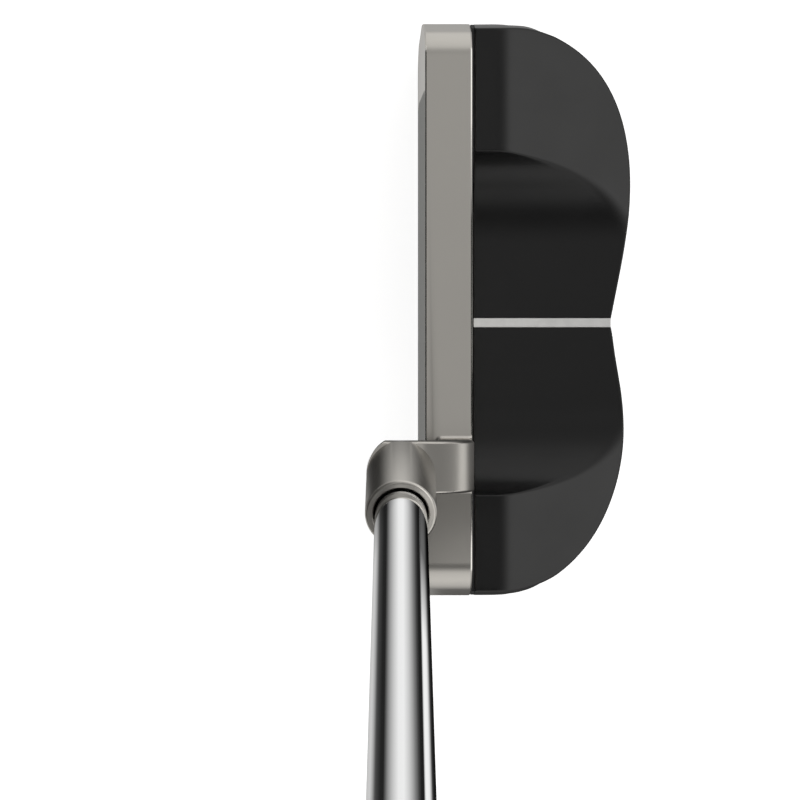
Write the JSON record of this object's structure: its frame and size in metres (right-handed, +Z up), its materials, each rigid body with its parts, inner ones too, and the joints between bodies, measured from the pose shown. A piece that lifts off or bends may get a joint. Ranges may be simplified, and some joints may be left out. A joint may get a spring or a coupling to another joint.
{
  "type": "mallet putter",
  "caption": "Golf putter with a compact two-lobed mallet head: steel front with an offset neck, soft face insert, black aluminium rear body, stepped chrome shaft and full grip.",
  "frame": {"origin": "on the ground, on the flat sole under the alignment line, half way back in the head", "axes": "+Z up with the sole flat on the ground, the face looks along -Y, the toe is at -X, the heel and golfer are at +X"},
  "size_m": [0.3916, 0.0609, 0.8384],
  "materials": {
    "blasted_steel": "bead-blasted, satin nickel tone",
    "black_aluminium": "black anodised, satin",
    "bond_film": "matt adhesive film",
    "white_fill": "satin white fill",
    "insert_face": "fine milled texture, satin",
    "insert_backer": "blue anodised",
    "screw_steel": "machined",
    "weight_steel": "turned face, satin",
    "shaft_chrome": "polished",
    "plug_plastic": "moulded",
    "grip_foam": "closed-cell foam",
    "grip_skin": "pebbled polyurethane, stitched at the back",
    "grip_trim": "moulded rubber, satin"
  },
  "bodies": {
    "root": {"face_neck_body": "blasted_steel", "rear_body": "black_aluminium", "body_bond_film": "bond_film", "alignment_line": "white_fill", "face_insert": "insert_face", "insert_backer": "insert_backer", "insert_bond_tape": "bond_film", "body_screw_toe": "screw_steel", "body_screw_middle": "screw_steel", "body_screw_heel": "screw_steel", "toe_weight": "weight_steel", "heel_weight": "weight_steel", "shaft": "shaft_chrome", "shaft_tip_plug": "plug_plastic", "grip_tape": "bond_film", "grip_core": "grip_foam", "grip_skin": "grip_skin", "grip_tip_ring": "grip_trim", "grip_end_cap": "grip_trim"}
  },
  "joints": []
}
